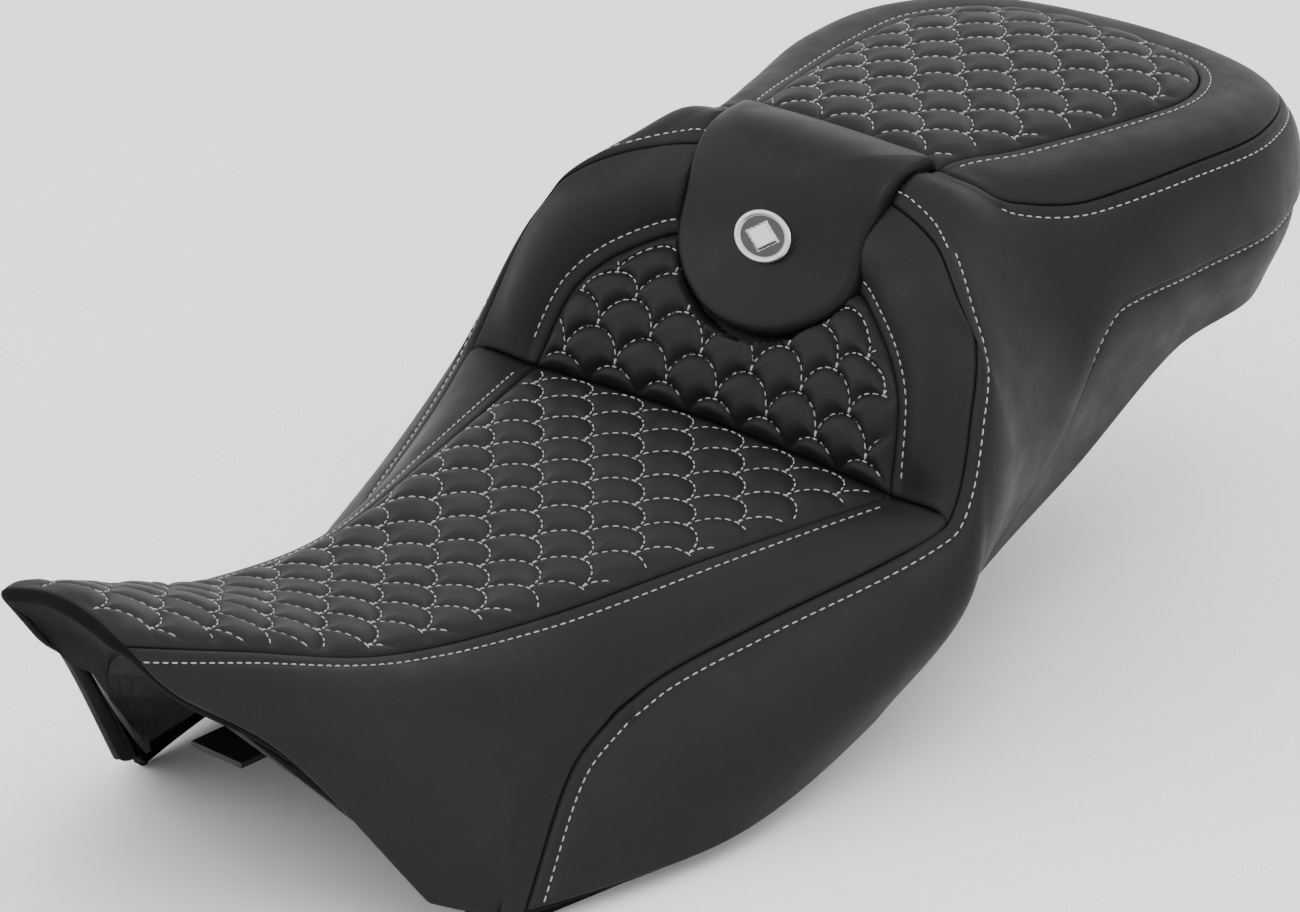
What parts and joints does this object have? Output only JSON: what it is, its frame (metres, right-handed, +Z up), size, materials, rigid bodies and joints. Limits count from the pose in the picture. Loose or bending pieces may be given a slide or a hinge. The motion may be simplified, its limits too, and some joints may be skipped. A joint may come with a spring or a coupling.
{
  "type": "motorcycle seat",
  "caption": "Two-up touring motorcycle seat with a quilted rider dish, raised backrest roll, quilted passenger pad and a lift-up flap over a backrest socket.",
  "frame": {"origin": "middle of the underside of the rubber pad that rests on the motorcycle's backbone, under the crease between the rider seat and the backrest", "axes": "+X to the rider's left, +Y towards the tail, +Z up"},
  "size_m": [0.3738, 0.8511, 0.2708],
  "materials": {
    "vinyl": "satin grained vinyl",
    "quilted_vinyl": "satin grained vinyl, quilted",
    "flap_vinyl": "satin grained vinyl",
    "lining": "woven backing",
    "foam": "open-cell foam",
    "gel": "soft gel",
    "badge": "satin silver",
    "zinc_steel": "zinc plated",
    "black_steel": "powder coat",
    "moulded_plastic": "moulded",
    "closure_tape": "hook and loop",
    "rubber": "moulded rubber"
  },
  "bodies": {
    "seat": {"backrest_quilt_panel": "quilted_vinyl", "backrest_receiver": "black_steel", "backrest_roll": "vinyl", "bolster_foam": "foam", "frame_pad": "rubber", "front_bracket_rivet_left": "zinc_steel", "front_bracket_rivet_right": "zinc_steel", "front_bumper_left": "rubber", "front_bumper_right": "rubber", "front_hook_bracket": "black_steel", "passenger_border": "vinyl", "passenger_foam": "foam", "passenger_gel_pad": "gel", "passenger_quilt_panel": "quilted_vinyl", "passenger_skirt_panel_left": "vinyl", "passenger_skirt_panel_right": "vinyl", "rear_bumper_left": "rubber", "rear_bumper_right": "rubber", "rear_mount_tab": "black_steel", "rear_tab_rivet_left": "zinc_steel", "rear_tab_rivet_right": "zinc_steel", "receiver_bolt_left": "zinc_steel", "receiver_bolt_right": "zinc_steel", "rider_foam": "foam", "rider_gel_pad": "gel", "rider_quilt_panel": "quilted_vinyl", "rider_side_panel_left": "vinyl", "rider_side_panel_right": "vinyl", "seat_closure_hook": "closure_tape", "seat_pan": "moulded_plastic", "wrap_panel_left": "vinyl", "wrap_panel_right": "vinyl"},
    "flap": {"flap_board": "moulded_plastic", "flap_closure_loop": "closure_tape", "flap_cover": "flap_vinyl", "flap_emblem": "badge", "flap_foam": "foam", "flap_lining": "lining"}
  },
  "joints": [
    {"name": "flap_hinge", "type": "hinge", "parent": "seat", "child": "flap", "pos_m": [0, 0.11017, 0.2246], "axis": [-1, 0, 0], "range_deg": [0, 120]}
  ]
}
